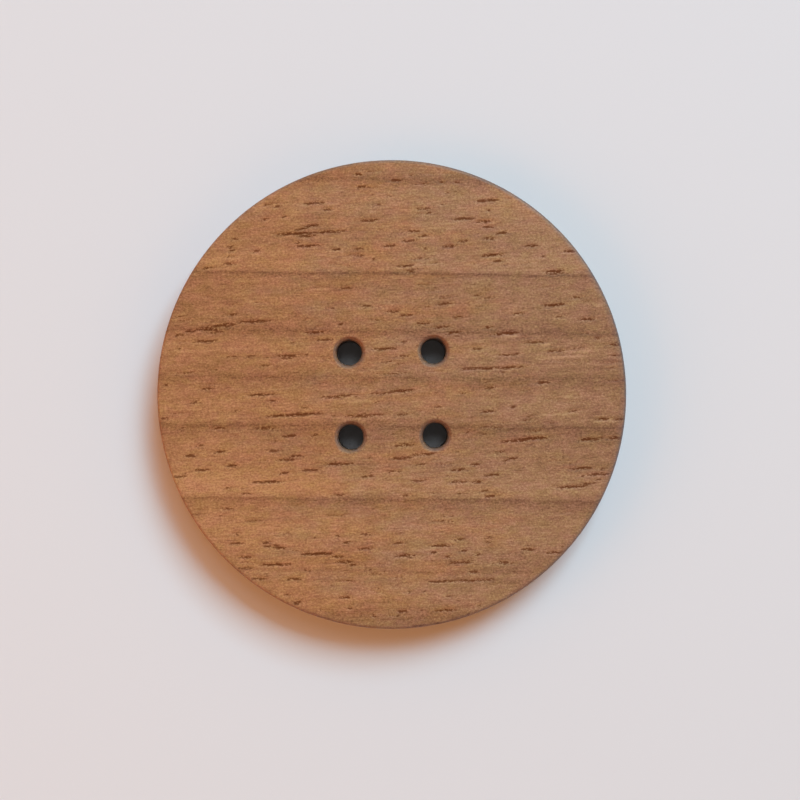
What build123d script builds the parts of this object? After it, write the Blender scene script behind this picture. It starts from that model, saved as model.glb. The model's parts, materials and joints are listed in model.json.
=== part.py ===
"""A large flat sewing button, cut as one disc from a board of walnut.

Millimetres. The origin is the centre of the back face, the one that lies on the cloth.
+Z points out of the front face, and +X follows the grain of the wood.
"""

from build123d import *
import os

# The disc
button_diameter = 50.0
button_thickness = 5.0
edge_round = 0.35

# The four thread holes, on the corners of a square about the centre
hole_diameter = 2.7
hole_pitch = 9.0
hole_countersink = 0.35
holes_across = 2

# The cutters reach this far past both faces
cut_overrun = 1.0

# The folder for the finished part
parts_folder = "parts"


def half_section():
    """The disc's half section in the XZ plane, from its axis out to a rim with both arrises eased."""
    radius = button_diameter / 2
    with BuildSketch(Plane.XZ) as section:
        with Locations((radius / 2, button_thickness / 2)):
            Rectangle(radius, button_thickness)
        rim_corners = section.vertices().group_by(Axis.X)[-1]
        fillet(rim_corners, edge_round)
    return section.sketch


def thread_hole_cutter():
    """The tool for one hole: a straight bore, countersunk at both faces to spare the thread.

    Its half section is the bore's wall with a slope of 45 degrees at each face, drawn in the XZ plane.
    """
    bore_radius = hole_diameter / 2
    mouth_radius = bore_radius + hole_countersink
    lower_end = hole_countersink
    upper_end = button_thickness - hole_countersink
    with BuildSketch(Plane.XZ) as section:
        with BuildLine():
            Polyline(
                (0, -cut_overrun),
                (mouth_radius, -cut_overrun),
                (mouth_radius, 0),
                (bore_radius, lower_end),
                (bore_radius, upper_end),
                (mouth_radius, button_thickness),
                (mouth_radius, button_thickness + cut_overrun),
                (0, button_thickness + cut_overrun),
                close=True,
            )
        make_face()
    with BuildPart() as cutter:
        revolve(section.sketch, axis=Axis.Z)
    return cutter.part


def wooden_button():
    """The turned disc with its four holes cut through."""
    with BuildPart() as button:
        revolve(half_section(), axis=Axis.Z)
        cutter = thread_hole_cutter()
        with GridLocations(hole_pitch, hole_pitch, holes_across, holes_across):
            add(cutter, mode=Mode.SUBTRACT)
    return button.part


os.makedirs(parts_folder, exist_ok=True)
export_step(wooden_button(), os.path.join(parts_folder, "wooden_button.step"))
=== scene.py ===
"""A large walnut sewing button, dressed over its solid and lying face up on a pale floor.

The button is one closed skin worked out with numpy: two faces whose rows follow the grain, an eased rim
and four countersunk bores. The open pores of the wood are cut into both faces, and the growth rings,
the pores and the scorched edges are kept as attributes that the finish reads. The rings' attribute also
carries painted highlights and a painted gradient of light and shade, and the edges' attribute carries
painted shade.
The button's lengths are in millimetres until its mesh is written, and the studio's in metres.
"""

import json
import logging
import math
from dataclasses import dataclass, field
from enum import Enum
from typing import NamedTuple

import bpy
import numpy as np
from mathutils import Matrix, Vector


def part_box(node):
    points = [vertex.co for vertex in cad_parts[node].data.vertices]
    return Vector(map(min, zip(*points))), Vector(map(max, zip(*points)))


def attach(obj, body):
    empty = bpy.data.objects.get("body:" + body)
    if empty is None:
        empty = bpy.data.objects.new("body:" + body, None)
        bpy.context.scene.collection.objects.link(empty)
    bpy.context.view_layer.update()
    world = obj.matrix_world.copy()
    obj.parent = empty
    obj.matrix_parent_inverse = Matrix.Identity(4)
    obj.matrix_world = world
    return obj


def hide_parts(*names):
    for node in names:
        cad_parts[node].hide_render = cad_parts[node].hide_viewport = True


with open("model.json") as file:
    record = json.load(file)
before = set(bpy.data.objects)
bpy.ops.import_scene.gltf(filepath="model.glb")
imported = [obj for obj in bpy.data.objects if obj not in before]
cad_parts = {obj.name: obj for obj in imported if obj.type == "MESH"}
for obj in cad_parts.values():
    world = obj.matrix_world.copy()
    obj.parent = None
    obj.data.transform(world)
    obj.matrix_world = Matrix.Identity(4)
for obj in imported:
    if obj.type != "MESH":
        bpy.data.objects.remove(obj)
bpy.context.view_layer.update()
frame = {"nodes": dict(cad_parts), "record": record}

LOG = logging.getLogger("walnut_button")
MM = 0.001
NODE = "wooden_button"
PIECE = "walnut_disc"

# A colour as a screen shows it, from 0 to 255, and a linear one with its alpha
Shown = tuple[int, int, int]
Colour = tuple[float, float, float, float]

# An input or an output of a node
Socket = bpy.types.NodeSocket


class Part(Enum):
    """The parts of the button's skin."""

    FRONT = 0
    BACK = 1
    RIM = 2
    BORE = 3


class GrowthLine(NamedTuple):
    """One dark line or band that a year's growth leaves across the face.

    row is the photograph's pixel row where it crosses the middle of the button, depth is how far
    it darkens the wood, less than 0 where it lightens it, above and below are the pixels over
    which it fades, and edge shapes the fade: 1 for an exponential, 2 for a bell and more for a
    flat band.
    """

    row: float
    depth: float
    above: float
    below: float
    edge: float = 1.0


class PoreMark(NamedTuple):
    """One pore or pale streak that stands out in the photograph, in its pixels.

    left and right are its ends, row is the pixel row of its middle, and strength is how plainly it
    shows. A pale streak is a painted highlight, where the edge of a pore catches the light.
    """

    left: float
    right: float
    row: float
    strength: float = 1.0


class Sway(NamedTuple):
    """A slow sine along the grain, which differs from one growth line to the next.

    reach is how far it swings, length is the pixels in which its angle grows by a radian, and
    shift is the angle that each line adds to the one before.
    """

    reach: float
    length: float
    shift: float

    def at(self, along: np.ndarray, number: int) -> np.ndarray:
        """Gives the swing: the reach times the sine of the way along over the length, shifted.

        Args:
            along: Places along the grain, in pixels.
            number: The growth line's number.

        Returns:
            One swing a place.
        """
        return self.reach * np.sin(along / self.length + self.shift * number)


GROWTH_LINES = (
    # First year, from the top rim
    GrowthLine(176.5, 0.28, 8.0, 7.0),
    GrowthLine(212.0, 0.07, 1.5, 6.0),
    GrowthLine(231.5, 0.06, 4.0, 3.0),
    GrowthLine(238.0, 0.02, 20.0, 18.0, 2.0),
    GrowthLine(244.0, 0.06, 5.0, 8.0),
    # The darker year between two sharp lines
    GrowthLine(271.9, 0.50, 1.3, 1.7),
    GrowthLine(302.5, 0.14, 30.5, 30.5, 8.0),
    GrowthLine(330.8, 0.12, 2.0, 1.6),
    GrowthLine(330.5, 0.20, 6.5, 11.0),
    # The year of the upper holes
    GrowthLine(358.0, 0.08, 2.5, 2.5),
    GrowthLine(366.0, 0.06, 1.3, 1.3),
    GrowthLine(375.0, 0.05, 24.0, 24.0, 4.0),
    GrowthLine(376.4, 0.26, 3.4, 10.0),
    # The year of the lower holes
    GrowthLine(414.5, 0.05, 1.5, 1.5),
    GrowthLine(437.0, 0.07, 38.0, 36.0, 6.0),
    GrowthLine(426.6, 0.33, 3.4, 2.0),
    GrowthLine(428.5, 0.14, 1.0, 20.0),
    GrowthLine(466.5, 0.06, 4.0, 5.0, 2.0),
    # The lowest years
    GrowthLine(489.0, -0.04, 9.0, 6.0, 2.0),
    GrowthLine(500.3, 0.29, 1.4, 3.0),
    GrowthLine(500.3, 0.12, 3.0, 10.0),
    GrowthLine(512.0, 0.06, 11.0, 12.0, 6.0),
    GrowthLine(575.0, 0.05, 45.0, 60.0, 6.0),
    GrowthLine(558.0, 0.04, 14.0, 18.0, 4.0),
    GrowthLine(572.6, 0.17, 1.3, 1.2),
    GrowthLine(565.0, 0.04, 9.0, 8.0, 2.0),
    GrowthLine(582.5, 0.10, 4.0, 3.0),
    GrowthLine(618.0, 0.26, 8.0, 12.0),
)

# Painted highlights: pale streaks beside some of the pores, where their edges catch the light
PORE_HIGHLIGHTS = tuple(
    PoreMark(*mark)
    for mark in (
        (499, 518, 335.0), (539, 549, 343.0, 0.8), (532, 578, 356.5, 0.8), (556, 596, 350.5, 0.5),
        (590, 601, 303.5, 0.8), (536, 568, 414.5, 0.6), (592, 612, 421.5, 0.6), (560, 566, 396.5, 0.8),
        (412, 420, 263.0, 0.5), (305, 330, 288.0, 0.4), (240, 262, 300.5, 0.4), (334, 372, 400.5, 0.5),
    )
)

# The pores that stand out, band by band from the top of the photograph
PORE_MARKS = tuple(
    PoreMark(*mark)
    for mark in (
        # Top of the face
        (353, 362, 171.5), (356, 369, 184.0), (390, 400, 177.5), (418, 427, 181.0, 0.8),
        (437, 443, 179.5, 0.8), (451, 459, 179.5, 0.6), (443, 447, 190.0, 0.8), (474, 497, 197.5, 1.2),
        (264, 272, 202.5, 0.8), (275, 281, 204.0), (304, 325, 200.5), (323, 333, 207.0),
        (375, 381, 202.0, 0.6), (386, 391, 193.5, 0.6), (438, 444, 201.5, 0.6), (414, 429, 206.0, 0.8),
        (426, 431, 210.5, 0.8), (484, 488, 207.5, 1.1), (262, 270, 217.0), (283, 287, 214.5),
        (360, 378, 218.0), (451, 473, 216.0), (474, 489, 219.0, 1.1), (481, 491, 224.5),
        # Above the first sharp ring
        (304, 320, 223.5, 1.2), (299, 308, 226.5, 1.1), (277, 312, 231.5, 1.2), (312, 346, 229.5, 1.1),
        (299, 316, 234.0, 1.1), (377, 383, 228.0, 0.7), (406, 419, 229.0), (415, 429, 233.5, 0.9),
        (481, 493, 236.0), (492, 508, 230.5), (233, 241, 237.0, 0.8), (229, 235, 245.0, 1.1),
        (230, 237, 249.0, 1.1), (229, 235, 255.0), (226, 238, 262.5, 0.8), (254, 261, 249.5, 0.8),
        (295, 320, 244.0, 1.1), (294, 301, 241.0, 0.8), (331, 342, 247.5, 1.1), (351, 364, 247.0, 0.8),
        (356, 364, 253.5, 0.8), (372, 377, 257.0, 0.9), (383, 395, 243.5, 1.2), (390, 395, 243.5),
        (400, 414, 238.5), (422, 426, 246.5, 0.9), (441, 454, 244.0, 1.2), (455, 467, 239.0),
        (479, 501, 253.0, 1.2), (490, 500, 259.0, 1.1), (522, 536, 243.5, 1.1), (538, 543, 254.5, 0.8),
        (560, 572, 249.0, 1.2), (409, 431, 256.5, 0.6), (395, 414, 264.0), (406, 415, 270.0, 0.9),
        (205, 213, 266.5, 1.2), (542, 561, 269.5, 1.3), (545, 556, 271.5, 0.9),
        # The darker year
        (339, 353, 286.5, 0.8), (471, 479, 294.0, 0.8), (567, 580, 296.0, 0.9), (541, 563, 303.5, 1.2),
        (360, 372, 304.5, 0.9), (327, 333, 307.0, 0.8), (387, 397, 310.0, 1.1), (423, 429, 305.5, 0.7),
        (436, 452, 302.5, 0.9), (509, 523, 312.5, 0.9), (398, 412, 314.0), (453, 462, 316.0),
        (576, 592, 318.0, 1.1), (371, 380, 319.0, 0.9), (338, 343, 323.0), (228, 238, 313.5),
        (240, 273, 320.5), (415, 428, 322.0), (428, 451, 326.0), (480, 492, 326.5),
        (188, 196, 330.5, 1.2), (198, 221, 328.5, 1.2), (213, 234, 325.0, 1.2), (305, 326, 331.5),
        (443, 462, 331.5), (490, 516, 332.5, 1.2), (499, 510, 330.2, 0.6), (589, 597, 337.5, 0.9),
        # Around the upper holes
        (607, 617, 343.5, 1.3), (316, 334, 339.0, 0.8), (196, 220, 340.5), (292, 297, 342.0),
        (371, 396, 348.0, 1.1), (401, 406, 340.8, 1.0), (468, 479, 348.0), (521, 545, 341.3, 0.8),
        (543, 562, 350.0, 0.8), (495, 518, 354.0), (277, 299, 355.0, 1.1), (217, 221, 369.0, 0.8),
        (457, 479, 368.0, 0.9), (477, 494, 367.8, 1.1), (496, 513, 367.2, 1.2), (177, 200, 372.5, 0.6),
        (534, 547, 382.0, 1.1),
        (483, 492, 387.5, 1.0), (166, 170, 384.5), (203, 216, 388.5), (248, 277, 394.5),
        (388, 414, 390.6, 1.2), (368, 392, 393.2, 0.8), (459, 464, 393.0), (321, 345, 397.0, 1.1),
        (336, 358, 395.0, 0.8),
        # Around the lower holes
        (189, 203, 402.5, 0.8), (268, 279, 401.0, 0.8), (237, 243, 410.5), (268, 303, 415.5, 1.2),
        (294, 323, 413.8, 1.1), (343, 384, 415.5, 0.9), (163, 170, 418.5), (478, 495, 411.5),
        (508, 513, 406.5, 1.2), (432, 443, 406.5, 0.7), (396, 408, 414.5, 0.8), (563, 575, 411.0, 0.7),
        (593, 605, 419.0, 1.1), (612, 620, 419.5, 1.2), (520, 527, 420.5, 0.8), (529, 536, 431.0, 0.9),
        (215, 226, 428.5, 1.1), (181, 192, 428.0, 0.7), (259, 276, 428.5, 1.1), (284, 297, 436.0, 1.2),
        (311, 318, 435.0, 1.3), (272, 278, 442.0, 0.7), (202, 207, 445.0, 0.9), (215, 229, 452.0),
        (268, 284, 451.0), (289, 305, 456.5, 1.1), (279, 297, 460.0, 1.1), (188, 198, 456.0, 1.2),
        (324, 353, 464.5, 1.2), (230, 239, 466.0, 1.3), (196, 210, 470.5, 1.1), (302, 320, 470.5, 1.1),
        (280, 290, 473.5, 1.1), (360, 374, 477.0), (366, 372, 458.0, 0.8), (393, 413, 445.5),
        (390, 409, 458.5, 1.2), (411, 436, 454.5), (253, 285, 482.5, 1.2), (175, 190, 477.0, 0.9),
        (499, 526, 441.0, 1.2), (518, 545, 438.5, 1.3), (574, 598, 439.5, 1.3), (604, 619, 438.0, 1.1),
        (497, 503, 452.5, 1.2), (506, 514, 458.5, 1.1), (499, 507, 461.5), (469, 477, 465.0, 1.2),
        (447, 465, 470.5, 1.1), (482, 497, 475.5), (511, 515, 472.5, 0.8), (565, 589, 469.0),
        (595, 602, 469.5, 0.9), (574, 578, 477.0), (580, 608, 475.0), (592, 599, 479.5, 0.9),
        # Either side of the lower sharp ring
        (408, 424, 481.5), (447, 465, 482.5), (470, 481, 482.5, 1.2), (553, 585, 487.5, 1.2),
        (577, 593, 484.0, 0.9), (386, 400, 472.0, 0.8), (225, 235, 488.5, 0.7), (243, 254, 494.5, 0.8),
        (332, 345, 495.5, 0.8), (454, 461, 494.0, 0.8), (477, 489, 491.5, 0.8), (482, 494, 497.0),
        (400, 409, 496.5, 0.8), (222, 234, 509.5, 0.9), (246, 265, 521.5, 0.6), (427, 448, 522.0, 0.6),
        # Foot of the face
        (233, 241, 535.0, 0.7), (282, 290, 535.0, 0.6), (334, 340, 536.5, 0.8), (360, 371, 535.0, 0.8),
        (343, 351, 543.5), (230, 246, 544.5, 0.9), (262, 274, 544.0, 0.9), (265, 281, 547.2, 1.1),
        (275, 286, 549.2, 1.2),
        (301, 334, 555.0, 1.3), (331, 344, 558.0, 1.1), (335, 353, 563.0, 1.1), (350, 356, 566.5),
        (356, 373, 550.0), (240, 254, 558.5), (262, 292, 566.0, 1.2), (236, 256, 569.5, 0.7),
        (253, 268, 580.0), (287, 302, 580.5), (294, 301, 604.5, 1.4), (338, 350, 599.0, 0.8),
        (348, 352, 610.0, 0.8), (284, 292, 596.5, 0.6), (393, 402, 544.5), (395, 415, 557.0, 1.2),
        (427, 451, 547.0), (451, 463, 540.5, 0.9), (429, 437, 553.5, 1.3), (457, 465, 552.5, 1.3),
        (472, 477, 556.0, 1.2), (443, 449, 558.0), (447, 470, 564.0), (495, 505, 564.0, 1.3),
        (481, 489, 543.0, 0.8), (518, 532, 551.0), (542, 561, 554.0), (467, 476, 573.5),
        (426, 458, 583.0, 0.9), (456, 491, 582.0), (396, 406, 613.0, 0.9), (432, 454, 612.0, 1.0),
        (411, 422, 627.5, 1.3), (432, 439, 625.5, 1.2), (463, 468, 616.5, 0.9),
        # Small ones at the foot
        (258, 261, 531.0, 0.8), (293, 300, 552.0, 0.7), (347, 353, 535.0, 0.5), (312, 318, 539.0, 0.5),
        (350, 353, 584.5, 0.7), (377, 380, 589.5, 0.6), (345, 350, 599.0, 1.0), (320, 322, 611.5, 0.7),
        (371, 375, 617.5, 1.0), (379, 384, 530.0, 0.5), (381, 384, 573.0, 0.7), (358, 361, 563.5, 0.6),
        (364, 367, 566.0, 0.6), (369, 372, 571.0, 0.7), (376, 380, 566.0, 0.6), (360, 364, 571.5, 0.6),
        (304, 308, 571.5, 0.7), (309, 313, 572.0, 0.6), (393, 408, 534.0, 0.5), (472, 476, 533.5, 0.6),
        (402, 408, 542.5, 0.5), (482, 492, 538.5, 0.6), (461, 472, 560.5, 0.6), (502, 506, 565.5, 1.0),
        (508, 515, 565.0, 0.6), (488, 493, 565.0, 0.5), (552, 555, 554.0, 1.1), (402, 404, 572.0, 0.9),
        (441, 443, 572.0, 0.8), (405, 412, 593.5, 0.7), (422, 425, 593.5, 0.8), (454, 459, 602.5, 0.5),
        (475, 479, 607.5, 0.7),
        # Small ones about the holes and on the left
        (514, 522, 366.8), (222, 238, 323.0, 0.9), (204, 217, 326.0, 0.7), (209, 224, 331.5, 0.8),
        (280, 296, 358.0, 0.6), (226, 240, 356.0, 0.6), (244, 258, 355.5, 0.6), (261, 273, 365.0, 0.7),
        (196, 203, 399.0, 0.5), (301, 310, 407.6, 0.6), (288, 305, 415.0, 1.2), (177, 186, 334.0, 0.8),
        (178, 183, 348.0, 0.6), (179, 185, 316.0, 0.6), (392, 410, 355.6, 0.7), (380, 394, 361.0, 0.7),
        (378, 410, 373.0, 0.6), (464, 470, 432.4, 0.6), (408, 426, 465.0, 0.6),
        # Small ones on the right
        (606, 619, 354.5, 0.7), (552, 563, 315.6, 0.6), (523, 527, 327.0, 0.6), (480, 485, 427.0, 0.7),
        (520, 525, 377.0, 0.6), (497, 502, 371.5, 0.8), (510, 513, 372.0, 0.8), (522, 528, 417.0, 0.7),
    )
)


def linear(shown: Shown) -> Colour:
    """Turns a colour as a screen shows it into the linear colour that a shader takes.

    The curve is the usual one of screens: a straight foot, and a power of 2.4 above it.

    Args:
        shown: Red, green and blue from 0 to 255.

    Returns:
        The linear red, green and blue, and an alpha of 1.
    """
    parts = np.array(shown) / 255.0
    foot = parts / 12.92
    power = ((parts + 0.055) / 1.055) ** 2.4
    return (*np.where(parts <= 0.04045, foot, power).tolist(), 1.0)


def smooth_step(values: np.ndarray) -> np.ndarray:
    """Eases 0 to 1 by the cubic 3t squared less 2t cubed, held outside that range.

    Args:
        values: Numbers of any shape.

    Returns:
        The eased numbers, in the same shape.
    """
    held = np.clip(values, 0.0, 1.0)
    return held * held * (3.0 - 2.0 * held)


@dataclass(frozen=True)
class PhotoFrame:
    """Where the button's outline lies in the photograph, in pixels of its 800 by 800 frame."""

    side: float = 800.0
    centre_column: float = 391.2
    centre_row: float = 393.6
    half_width: float = 231.4
    half_height: float = 237.45
    turn_deg: float = 1.2

    @property
    def outline_radius(self) -> float:
        """The radius of the round outline, in pixels."""
        return (self.half_width + self.half_height) / 2.0

    def axes(self) -> tuple[np.ndarray, np.ndarray]:
        """Gives the button's directions that show as right and as up in the photograph.

        Returns:
            Two unit vectors in the plane of the face.
        """
        turn = math.radians(self.turn_deg)
        return np.array([math.cos(turn), -math.sin(turn)]), np.array([math.sin(turn), math.cos(turn)])

    def to_face(self, columns: np.ndarray, rows: np.ndarray, radius: float) -> np.ndarray:
        """Places pixels on the face: each is a share of the outline's half axes, times the radius.

        Args:
            columns: Pixel columns.
            rows: Pixel rows.
            radius: The button's radius.

        Returns:
            The points, with x and y in the last axis.
        """
        right, up = self.axes()
        across = (np.asarray(columns) - self.centre_column) / self.half_width * radius
        along = (self.centre_row - np.asarray(rows)) / self.half_height * radius
        return across[..., None] * right + along[..., None] * up

    def to_pixels(self, face: np.ndarray, radius: float) -> tuple[np.ndarray, np.ndarray]:
        """Gives the pixels where points of the face show, the reverse of to_face.

        Args:
            face: Points with x and y in the last axis.
            radius: The button's radius.

        Returns:
            The columns and the rows.
        """
        right, up = self.axes()
        columns = self.centre_column + face @ right / radius * self.half_width
        rows = self.centre_row - face @ up / radius * self.half_height
        return columns, rows


@dataclass
class Pores:
    """The open pores of one face, each a shallow boat-shaped groove along the grain.

    The arrays have one value a pore: its middle, half its length, half its width, how strong it
    is, and the angle of its run. A pore wavers to either side by waver, at an angle of waver_pace
    a millimetre, and where it starts follows its place.
    """

    middle: np.ndarray
    half_length: np.ndarray
    half_width: np.ndarray
    strength: np.ndarray
    angle: np.ndarray
    waver: float = 0.03
    waver_pace: float = 4.2
    waver_start_x: float = 31.0
    waver_start_y: float = 17.0

    def joined(self, other: "Pores") -> "Pores":
        """Gives these pores with the other's after them.

        Args:
            other: More pores.

        Returns:
            Both lots as one.
        """
        names = ("middle", "half_length", "half_width", "strength", "angle")
        return Pores(*(np.concatenate([getattr(self, n), getattr(other, n)]) for n in names))

    def strength_at(self, face: np.ndarray) -> np.ndarray:
        """Works out how deep in a pore each point lies, from 0 on bare wood to the pore's strength.

        A pore's depth is its strength, times the root of 1 less a squared, times a bell of b over
        the half width, where a runs from -1 to 1 along the pore and b is the distance across it,
        plus a small sine that makes the pore waver. Where pores cross, the deeper one counts.

        Args:
            face: Points, one a row, with x and y.

        Returns:
            One depth a point.
        """
        depth = np.zeros(len(face))
        for middle, length, width, strength, angle in zip(
            self.middle, self.half_length, self.half_width, self.strength, self.angle
        ):
            offset = face - middle
            near = np.flatnonzero(np.abs(offset).max(axis=1) < length + width)
            run = offset[near, 0] * math.cos(angle) + offset[near, 1] * math.sin(angle)
            across = offset[near, 1] * math.cos(angle) - offset[near, 0] * math.sin(angle)
            start_x = self.waver_start_x * middle[0]
            start_y = self.waver_start_y * middle[1]
            across += self.waver * np.sin(run * self.waver_pace + start_x + start_y)
            taper = np.sqrt(np.clip(1.0 - (run / length) ** 2, 0.0, 1.0))
            groove = strength * taper * np.exp(-((across / width) ** 2))
            depth[near] = np.maximum(depth[near], groove)
        return depth


@dataclass
class WalnutFigure:
    """The figure of the board: its growth rings, and the pores that open on each face."""

    radius: float
    photo: PhotoFrame

    # The growth rings, how their lines wander and are patchy, and a painted gradient of light and shade
    # across the face
    ring_lean: float = 0.45
    ring_slope: float = 0.010
    ring_sways: tuple[Sway, Sway] = (Sway(0.4, 41.0, 2.1), Sway(0.25, 17.0, 1.3))
    patch_level: float = 0.85
    patch_sways: tuple[Sway, Sway] = (Sway(0.15, 11.0, 3.7), Sway(1.0, 29.0, 1.0))
    # Painted light and shade: a slope of tone along X, and a twist
    light_drift_along: float = -0.0018
    light_drift_twist: float = 0.00016
    # How far the painted highlights beside the pores lighten the wood
    highlight_gain: float = 0.48

    # The run of the fibres, and how far it fans out towards the upper right
    fibre_rise_deg: float = 2.6
    fibre_spread_deg: float = 1.3
    fibre_fan: float = 1.5

    # The pores placed by marks, drawn longer because a groove fades at its ends
    mark_half_width: float = 0.14
    mark_stretch: float = 1.1

    # The scattered pores: half lengths, drawn by the logarithm, half widths, strengths and numbers
    log_length: float = -0.55
    log_length_spread: float = 0.45
    shortest: float = 0.2
    longest: float = 1.7
    narrowest: float = 0.075
    width_range: float = 0.035
    faintest: float = 0.3
    strength_bend: float = 1.5
    small_pores: int = 560
    back_pores: int = 700
    front_strongest: float = 0.62
    back_strongest: float = 1.15
    front_seed: int = 11
    back_seed: int = 23

    def fibre_angle(self, face: np.ndarray) -> np.ndarray:
        """Gives the run of the fibres, which rise a little more towards the upper right.

        Args:
            face: Points with x and y in the last axis.

        Returns:
            Angles in radians from the button's X axis.
        """
        towards_corner = (face[..., 0] + face[..., 1]) / (2.0 * self.radius)
        shown = self.fibre_rise_deg + self.fibre_fan * self.fibre_spread_deg * towards_corner
        return np.radians(shown - self.photo.turn_deg)

    def ring_shade(self, points: np.ndarray, front: float) -> np.ndarray:
        """Works out how far the growth rings darken each point of the wood.

        A ring is a leaning sheet, so a point is first carried up to the front face along it. Each
        line's shade there is its depth times e to the minus of its gap over its fade, raised to
        its edge. The line's own height wanders by the sum of two slow sines along the grain, and
        its depth is patchy by the product of two others.

        Args:
            points: Points, one a row.
            front: The height of the front face.

        Returns:
            One shade a point, about 0 away from all lines and more where the wood is darker.
        """
        carried = points[:, :2].copy()
        carried[:, 1] += self.ring_lean * (front - points[:, 2])
        columns, rows = self.photo.to_pixels(carried, self.radius)
        along = columns - self.photo.centre_column
        shade = np.zeros(len(points))
        for number, line in enumerate(GROWTH_LINES):
            wander = sum(sway.at(along, number) for sway in self.ring_sways)
            gap = rows - line.row - self.ring_slope * along - wander
            fade = np.where(gap < 0.0, line.above, line.below)
            quick, slow = (sway.at(along, number) for sway in self.patch_sways)
            patches = self.patch_level + quick * slow
            shade += line.depth * patches * np.exp(-((np.abs(gap) / fade) ** line.edge))
        return shade

    def painted_light_drift(self, points: np.ndarray) -> np.ndarray:
        """Works out a painted gradient of light and shade: how much lighter the wood is painted than
        its rings make it.

        It is a slope along X, plus a twist, which is a number times x times y.

        Args:
            points: Points, one a row.

        Returns:
            One change of tone a point.
        """
        return self.light_drift_along * points[:, 0] + self.light_drift_twist * points[:, 0] * points[:, 1]

    def placed(self, marks: tuple[PoreMark, ...]) -> Pores:
        """Places marks from the photograph on the front face.

        Args:
            marks: The marks.

        Returns:
            The same marks as grooves along the fibres.
        """
        left, right, row, strength = np.array(marks).T
        middle = self.photo.to_face((left + right) / 2.0, row, self.radius)
        half_length = (right - left) / 2.0 / self.photo.half_width * self.radius
        half_length *= self.mark_stretch
        half_width = np.full(len(row), self.mark_half_width)
        return Pores(middle, half_length, half_width, strength, self.fibre_angle(middle))

    def scattered_pores(self, count: int, seed: int, strongest: float) -> Pores:
        """Scatters pores evenly over a face, each along the fibres or a little astray.

        Args:
            count: How many pores.
            seed: The seed of the random draws.
            strongest: The strength of the strongest.

        Returns:
            The pores.
        """
        draws = np.random.default_rng(seed)
        spread = self.radius * np.sqrt(draws.random(count))
        round_by = draws.random(count) * 2.0 * math.pi
        middle = np.stack([spread * np.cos(round_by), spread * np.sin(round_by)], axis=1)
        half_length = draws.lognormal(self.log_length, self.log_length_spread, count)
        half_length = np.clip(half_length, self.shortest, self.longest)
        half_width = self.narrowest + self.width_range * draws.random(count)
        share = draws.random(count) ** self.strength_bend
        strength = strongest * (self.faintest + (1.0 - self.faintest) * share)
        angle = self.fibre_angle(middle) + np.radians(draws.normal(0.0, self.fibre_spread_deg, count))
        return Pores(middle, half_length, half_width, strength, angle)

    def front_pores(self) -> Pores:
        """Gives the pores of the front face: those seen in the photograph, and small ones between."""
        small = self.scattered_pores(self.small_pores, self.front_seed, self.front_strongest)
        return self.placed(PORE_MARKS).joined(small)

    def back_face_pores(self) -> Pores:
        """Gives the pores of the back face, all scattered."""
        return self.scattered_pores(self.back_pores, self.back_seed, self.back_strongest)


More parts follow.
